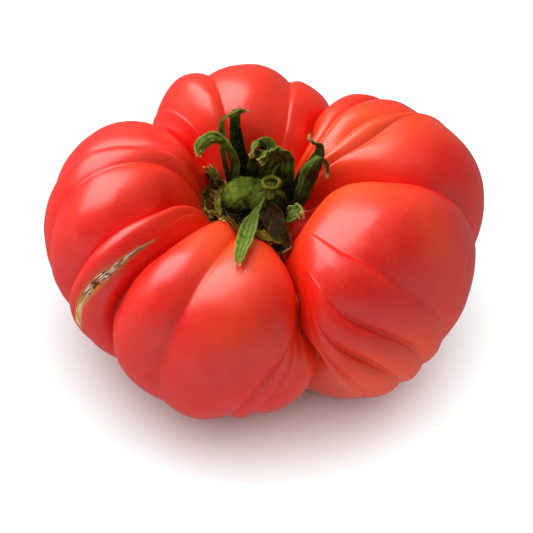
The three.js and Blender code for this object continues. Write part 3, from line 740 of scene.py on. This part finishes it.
# The hub's lobes. at and size: centre and half sizes; pole: where the fine creases meet; tone: 0 dark to
# 1 light green; seams: angle round the pole, in degrees, of each thin brown crest
HUB_LOBES = [
    dict(name="hub_left", at=(-3, -2, 49.8), size=(5.4, 6.3, 4.6), pole=(0.8, 0.15, 0.6), tone=0.12,
         seams=[]),
    dict(name="hub_middle", at=(3.5, -3.8, 49.4), size=(6, 6.9, 5.7), pole=(0.05, 0.1, 1), tone=-0.2,
         seams=[176, 212, 268, 332]),
    dict(name="hub_back", at=(1, 1, 48.5), size=(6, 5, 3.6), pole=(0, 0, 1), tone=0, seams=[]),
    dict(name="hub_base", at=(0.8, -1.5, 47.2), size=(9.3, 8.2, 2.4), pole=(0, 0, 1), tone=-0.3, seams=[]),
]
# The height that the hub stands at, and the relief of its lobes, in mm
HUB_FOOT_Z = 45.3
LOBE_SWELLING = 0.45
LOBE_DIMPLING = 0.25
CREASE_HEIGHT = 0.14
SEAM_HEIGHT = 0.25
# A seam's thickness and how far it wanders, as shares of the lobe's radius
SEAM_THICKNESS = 0.04
SEAM_WANDER = 0.12


def make_hub_lobe(lobe):
    """A swollen lobe of the hub, with fine creases that run together at its pole. Its green is painted
    lighter on top and at the left, as painted light, and darker below, as painted shade.
    """
    bpy.ops.mesh.primitive_uv_sphere_add(segments=160, ring_count=80, radius=1)
    piece = take(lobe["name"])
    turn = Vector((0, 0, 1)).rotation_difference(Vector(lobe["pole"]).normalized())
    size = Vector(lobe["size"])
    looks = []
    for vertex in piece.data.vertices:
        unit = vertex.co.copy()
        angle = math.atan2(unit.y, unit.x)
        belt = math.hypot(unit.x, unit.y)
        way = turn @ unit
        crease = grain((math.cos(angle) * 9, math.sin(angle) * 9, unit.z * 2.5), size=1.1, seed=6) * belt
        wander = SEAM_WANDER * grain(way * 4, size=2)
        asides = [math.remainder(angle - math.radians(at) - wander, math.tau) * belt for at in lobe["seams"]]
        seam = max([0] + [math.exp(-(aside / SEAM_THICKNESS) ** 2) for aside in asides])
        swell = LOBE_SWELLING * grain(way * 5, size=3.5, seed=7)
        swell += LOBE_DIMPLING * grain(way * 5, size=1.1, seed=8)
        swell += CREASE_HEIGHT * crease
        swell += SEAM_HEIGHT * seam
        place = Vector(a * b for a, b in zip(way, size))
        place += place.normalized() * swell
        place += Vector(lobe["at"])
        place.z = max(place.z, HUB_FOOT_Z)
        vertex.co = place * MM
        cloud = grain(way * 5, size=1.6, seed=9)
        # Painted light and shade: the tone is raised on top and on the left side, where the light falls, and
        # lowered below; the cloud is the lobe's own uneven green. The lobe is also browner and drier towards
        # its underside
        looks.append(dict(
            tone=lobe["tone"] + 0.8 * (way.z - 0.55) + 0.32 * cloud + 0.3 * ease(0.2, -0.8, way.x),
            vein=0.35 * ease(0.05, -0.4, crease),
            dry=0.42 * seam + 0.1 * ease(0.2, -0.4, way.z),
            brown=0.65 * seam + 0.35 * ease(0.3, -0.5, way.z),
        ))
    set_leaf_looks(piece, looks)
    finish_piece(piece, "green", HUB_GREEN)
    return piece


# The stub of stalk. at: middle of its rim; radius: of its wall; bore: radius of its hole; length: of its
# wall below the rim; depth: of its hole; tilt: in degrees, to the front
STALK = dict(at=(4.1, -2.8, 55.6), radius=2.45, bore=1.55, length=3.2, depth=4, tilt=7)
STALK_SIDES = 48
STALK_RIDGES = 22


def make_stalk():
    """The stub of hollow stalk: a wall turned from its profile, with a rolled and uneven broken rim."""
    outer, inner = STALK["radius"], STALK["bore"]
    profile = [(outer * 1.25, -STALK["length"]), (outer * 1.05, -1.8), (outer * 0.98, -0.8), (outer, -0.25),
               (outer * 0.93, 0.02), ((outer + inner) / 2, 0.1), (inner * 1.05, -0.05), (inner * 0.95, -0.5),
               (inner * 0.85, -1.5), (inner * 0.7, -STALK["depth"]), (0.02, -STALK["depth"])]
    mesh = bpy.data.meshes.new("stalk_stub")
    mesh.from_pydata([(r, 0, z) for r, z in profile], [(i, i + 1) for i in range(len(profile) - 1)], [])
    piece = bpy.data.objects.new("stalk_stub", mesh)
    bpy.context.scene.collection.objects.link(piece)
    choose(piece)
    bpy.ops.object.mode_set(mode="EDIT")
    bpy.ops.mesh.select_all(action="SELECT")
    bpy.ops.mesh.spin(steps=STALK_SIDES, angle=math.tau, center=(0, 0, 0), axis=(0, 0, 1))
    bpy.ops.mesh.select_all(action="SELECT")
    bpy.ops.mesh.remove_doubles(threshold=0.001)
    bpy.ops.mesh.normals_make_consistent(inside=False)
    bpy.ops.object.mode_set(mode="OBJECT")
    apply_modifier(piece, "SUBSURF", levels=1, render_levels=1)
    tilt = Matrix.Rotation(math.radians(STALK["tilt"]), 3, "X")
    looks = []
    for vertex in piece.data.vertices:
        x, y, z = vertex.co
        angle = math.atan2(y, x)
        radius = math.hypot(x, y)
        ridge = math.cos(STALK_RIDGES * angle + 1.5 * grain((x, y, z), size=2.5))
        uneven = 1 + 0.07 * math.sin(2 * angle + 0.6) + 0.05 * math.sin(5 * angle) + 0.025 * ridge
        rim = ease(-0.9, 0, z)
        place = Vector((x * uneven, y * uneven, z + rim * 0.35 * grain((x, y, 0), size=1.6, seed=8)))
        vertex.co = (tilt @ place + Vector(STALK["at"])) * MM
        inside = ease(inner * 1.05, inner * 0.9, radius)
        looks.append(dict(
            tone=0.5 + 0.8 * rim * (1 - inside) - 0.5 * inside,
            vein=0.15 - 0.15 * ridge,
            dry=0.1 + 0.25 * rim * (1 - inside) + 0.1 * inside,
            brown=0.2 + 0.5 * inside,
        ))
    set_leaf_looks(piece, looks)
    finish_piece(piece, "green", HUB_GREEN)
    return piece


# The dry lining of the cavity, seen from the cavity's middle. LINING_TOP: the slope, in degrees, to its torn
# upper edge, every 30 degrees of azimuth from 0; LINING_BOTTOM: the slope to its lower edge
CAVITY_MIDDLE = (-1, -1, 57)
LINING_TOP = [-52, -52, -50, -48, -42, -38, -36, -36, -30, -18, -35, -50]
LINING_BOTTOM = -84
LINING_COLUMNS = 60
LINING_ROWS = 420
# Tears of the upper edge: depth in degrees, size in mm and seed
LINING_TEARS = [(6, 2.2, 9), (4, 0.5, 13)]
# Its last row stops just short of a full turn
LINING_TURN = 0.9999
# Its height over the skin, and the distance within which its points are one, in mm
LINING_HEIGHT = 0.6
LINING_MERGE = 0.002


def make_lining(fruit):
    """Papery dead tissue that lines the cavity round the hub. Fibres run up it, and its upper edge is torn.
    Rise runs from 0 at its lower edge to 1 at its upper edge, and turn from 0 to 1 round it."""
    bpy.ops.mesh.primitive_grid_add(x_subdivisions=LINING_COLUMNS, y_subdivisions=LINING_ROWS, size=2)
    piece = take("dry_lining")
    origin = Vector(CAVITY_MIDDLE)
    looks = []
    for vertex in piece.data.vertices:
        rise, turn = (vertex.co.x + 1) / 2, (vertex.co.y + 1) / 2 * LINING_TURN
        azimuth = turn * math.tau
        ring = Vector((math.cos(azimuth), math.sin(azimuth), 0))
        knot = turn * len(LINING_TOP)
        low, high = LINING_TOP[int(knot)], LINING_TOP[(int(knot) + 1) % len(LINING_TOP)]
        torn = sum(depth * grain(ring * 12, size, seed) for depth, size, seed in LINING_TEARS)
        top = mix(low, high, ease(0, 1, knot - int(knot))) + torn
        slope = math.radians(mix(LINING_BOTTOM, top, rise))
        way = ring * math.cos(slope) + Vector((0, 0, math.sin(slope)))
        _, near, normal, _ = fruit.ray_cast(origin * MM, way)
        near = near / MM
        fibre = grain(ring * 22 + Vector((0, 0, rise * 3.5)), size=1.2, seed=10)
        patch = grain(near, size=3.0, seed=11)
        wrinkle = 0.45 * grain(near, size=2.2, seed=12) + 0.25 * fibre
        crust = (LINING_HEIGHT + wrinkle) * (1 - 0.9 * ease(0.85, 1, rise)) + 0.02
        vertex.co = (near + normal * crust) * MM
        looks.append(dict(
            tone=0.35 + 0.5 * patch + 0.35 * fibre,
            vein=0.9 * ease(0.05, -0.35, fibre),
            dry=0.2 + 0.4 * ease(0.1, 0.5, fibre) + 0.3 * ease(0.9, 1, rise),
            brown=ease(-0.1, 0.35, grain(near, size=3.6, seed=14)),
        ))
    set_leaf_looks(piece, looks)
    choose(piece)
    bpy.ops.object.mode_set(mode="EDIT")
    bpy.ops.mesh.select_all(action="SELECT")
    bpy.ops.mesh.remove_doubles(threshold=LINING_MERGE * MM)
    bpy.ops.object.mode_set(mode="OBJECT")
    finish_piece(piece, "green", DRY_TISSUE)
    return piece


# Scraps of dead leaf that lie on the cavity's wall. seen: pixels of the photograph along each of them;
# half, tone and brown as for the sepals
SCRAPS = [
    dict(name="scrap_left_dark", seen=[(213, 190), (208, 178), (205, 168)],
         half=[1.2, 1.3, 0.7], tone=-0.1, brown=(0.9, 0.5)),
    dict(name="scrap_left_strap", seen=[(221, 184), (216, 174), (210, 165)],
         half=[1.1, 1.2, 0.6], tone=0.3, brown=(0.6, 0.3)),
    dict(name="scrap_left_low", seen=[(206, 188), (207, 200), (205, 213)],
         half=[1.0, 1.5, 0.8], tone=0.1, brown=(1, 0.7)),
    dict(name="scrap_left_pale", seen=[(214, 196), (219, 206), (223, 217)],
         half=[1.2, 1.6, 1.0], tone=0.9, brown=(0, 0.2)),
    dict(name="scrap_left_edge", seen=[(209, 212), (215, 217), (222, 223)],
         half=[0.8, 1.1, 0.7], tone=0.4, brown=(0.5, 0.9)),
    dict(name="scrap_back", seen=[(257, 168), (256, 160), (258, 152)],
         half=[1.2, 1.2, 0.5], tone=0.1, brown=(1, 1)),
    dict(name="scrap_collar", seen=[(252, 236), (266, 241), (277, 248), (286, 259)],
         half=[1.3, 2.3, 2.5, 1.4], tone=0.9, brown=(0.1, 0.5)),
    dict(name="scrap_front_dark", seen=[(226, 220), (234, 230), (244, 236)],
         half=[0.9, 1.2, 0.8], tone=-0.1, brown=(0.8, 1)),
]
# What the scraps share: their height over the skin in mm, and their dryness, tears and crumpling
SCRAP_LIFT = 0.7
SCRAP_LOOK = dict(dry=0.1, tip=0.85, forks=[(0.1, 0.8, 0.5)], crumple=0.4)


def make_scrap(fruit, scrap, number):
    """A scrap of dead leaf, laid along the cavity's wall."""
    found = [seen_on_skin(fruit, pixel) for pixel in scrap["seen"]]
    through = [place + normal * SCRAP_LIFT for place, normal in found]
    before = [through[0]] + through[:-1]
    after = through[1:] + [through[-1]]
    side = [normal.cross(b - a).normalized() for a, b, (_, normal) in zip(before, after, found)]
    strap = dict(scrap, through=through, side=side, **SCRAP_LOOK)
    return make_sepal(strap, number, DRY_TISSUE, DRY_TISSUE)


HAIR_SIDES = 3
# Where a hair bends, from -0.5 at its root to 0.5 at its tip
HAIR_BENDS = (-0.25, 0, 0.25)
# How far a hair leans from its carrier's normal, how deep its root is sunk in mm, and the height above
# which none grows, so that all stay inside the CAD's box
HAIR_LEAN = 0.5
HAIR_ROOT = 0.08
HAIR_CEILING = 68.5


def make_hairs(name, material, carriers, count, lengths, radius, bending):
    """Fine hairs on other pieces: one tapered hair, bent and copied to seeded places."""
    bpy.ops.mesh.primitive_cone_add(vertices=HAIR_SIDES, radius1=radius, radius2=radius / 4, depth=1,
                                    end_fill_type="NGON")
    hair = take(name)
    bpy.ops.object.mode_set(mode="EDIT")
    for height in HAIR_BENDS:
        bpy.ops.mesh.select_all(action="SELECT")
        bpy.ops.mesh.bisect(plane_co=(0, 0, height), plane_no=(0, 0, 1))
    bpy.ops.object.mode_set(mode="OBJECT")
    shape = [v.co + Vector((0, 0, 0.5)) for v in hair.data.vertices]
    rings = [list(face.vertices) for face in hair.data.polygons]
    vertices, faces = [], []
    for _ in range(count):
        carrier = chance.choice(carriers)
        root = chance.choice(carrier.data.vertices)
        length = chance.uniform(*lengths)
        bend = Vector((chance.uniform(-bending, bending), chance.uniform(-bending, bending), 0))
        lean = Vector([chance.gauss(0, HAIR_LEAN) for _ in range(3)])
        if root.co.z / MM > HAIR_CEILING:
            continue
        turn = Vector((0, 0, 1)).rotation_difference((root.normal + lean).normalized())
        start = len(vertices)
        for point in shape:
            bent = Vector((point.x, point.y, point.z * length - HAIR_ROOT)) + bend * point.z ** 2 * length
            vertices.append(root.co + (turn @ bent) * MM)
        faces += [[start + i for i in ring] for ring in rings]
    mesh = bpy.data.meshes.new(name)
    mesh.from_pydata(vertices, [], faces)
    hair.data = mesh
    finish_piece(hair, "green", material)
    return hair


# Stage

# The floor's side and the lights' distances and sizes are in metres. way: from the tomato to the light;
# power: in watts
FLOOR_SIDE = 4
ROOM_BRIGHTNESS = 0.22
LIGHT_AIM = Vector((0, 0, 0.03))
OVERHEAD_LIGHT = dict(way=(0, 0.3, 0.95), distance=1.0, size=2.2, power=10)
FLOOR_LIGHT = dict(way=(0, -0.3, 1), distance=1.0, size=1.6, power=20)
KEY_LIGHT = dict(way=(-0.54, 0.31, 0.78), distance=0.8, size=0.95, power=11.6)


def make_stage():
    """A plain white floor in a dim white room, with a broad soft light overhead, one for the floor alone, and
    a smaller one at the left, behind, which is given back to be kept to the tomato."""
    bpy.ops.mesh.primitive_plane_add(size=FLOOR_SIDE)
    floor = take("floor")
    material, shader = new_material("white_floor")
    set_input(material, shader, "Base Color", linear("#ecfafa"))
    set_input(material, shader, "Roughness", 0.9)
    floor.data.materials.append(material)
    floor.visible_glossy = False
    world = bpy.data.worlds.new("white_room")
    world.use_nodes = True
    background = world.node_tree.nodes["Background"]
    background.inputs["Color"].default_value = (1, 1, 1, 1)
    background.inputs["Strength"].default_value = ROOM_BRIGHTNESS
    bpy.context.scene.world = world
    overhead_light = add_softbox("overhead_light", **OVERHEAD_LIGHT)
    overhead_light.visible_glossy = False
    floor_light = add_softbox("floor_light", **FLOOR_LIGHT)
    light_only(floor_light, [floor])
    return add_softbox("key_light", **KEY_LIGHT)


def light_only(lamp, pieces):
    """Lets the light fall on these pieces only. So the tomato's own light casts no hard shadow on the floor,
    and the floor's own light doesn't brighten the tomato."""
    lit = bpy.data.collections.new("lit_by_" + lamp.name)
    for piece in pieces:
        lit.objects.link(piece)
    lamp.light_linking.receiver_collection = lit


def add_softbox(name, way, distance, size, power):
    """A square light that faces the tomato."""
    light = bpy.data.lights.new(name, "AREA")
    light.shape = "SQUARE"
    light.size = size
    light.energy = power
    lamp = bpy.data.objects.new(name, light)
    bpy.context.scene.collection.objects.link(lamp)
    way = Vector(way).normalized()
    lamp.location = way * distance + LIGHT_AIM
    lamp.rotation_mode = "QUATERNION"
    lamp.rotation_quaternion = way.to_track_quat("Z", "Y")
    return lamp


def make_camera():
    """The photograph's view: from the front, well above, through a long lens."""
    _, _, back = camera_axes()
    camera = bpy.data.objects.new("camera", bpy.data.cameras.new("camera"))
    bpy.context.scene.collection.objects.link(camera)
    camera.data.lens = CAMERA_LENS
    camera.data.sensor_width = CAMERA_SENSOR
    camera.location = (Vector(CAMERA_TARGET) + back * CAMERA_DISTANCE) * MM
    camera.rotation_euler = (math.pi / 2 - math.radians(CAMERA_ELEVATION), 0, 0)
    camera.data.clip_start = 0.05
    camera.data.clip_end = 20
    bpy.context.scene.camera = camera


bpy.context.scene.view_settings.view_transform = "Standard"
make_camera()
key_light = make_stage()
fruit, scar_places = make_fruit()
scars = [make_scar(fruit, scar_places), make_blossom_scar()]
sepals = [make_sepal(sepal, number, SEPAL_OUTER, SEPAL_INNER) for number, sepal in enumerate(SEPALS)]
lobes = [make_hub_lobe(lobe) for lobe in HUB_LOBES]
stalk = make_stalk()
lining = make_lining(fruit)
scraps = [make_scrap(fruit, scrap, number) for number, scrap in enumerate(SCRAPS, len(SEPALS))]
hairs = [
    make_hairs("calyx_hairs", HAIR, sepals + lobes + [stalk], count=4200, lengths=(0.4, 1.2), radius=0.02,
               bending=0.5),
    make_hairs("dry_fibres", FIBRE, scraps + [lining], count=150, lengths=(1.5, 3.5), radius=0.045,
               bending=1.2),
]
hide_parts("calyx")
light_only(key_light, [fruit, stalk, lining] + scars + sepals + lobes + scraps + hairs)
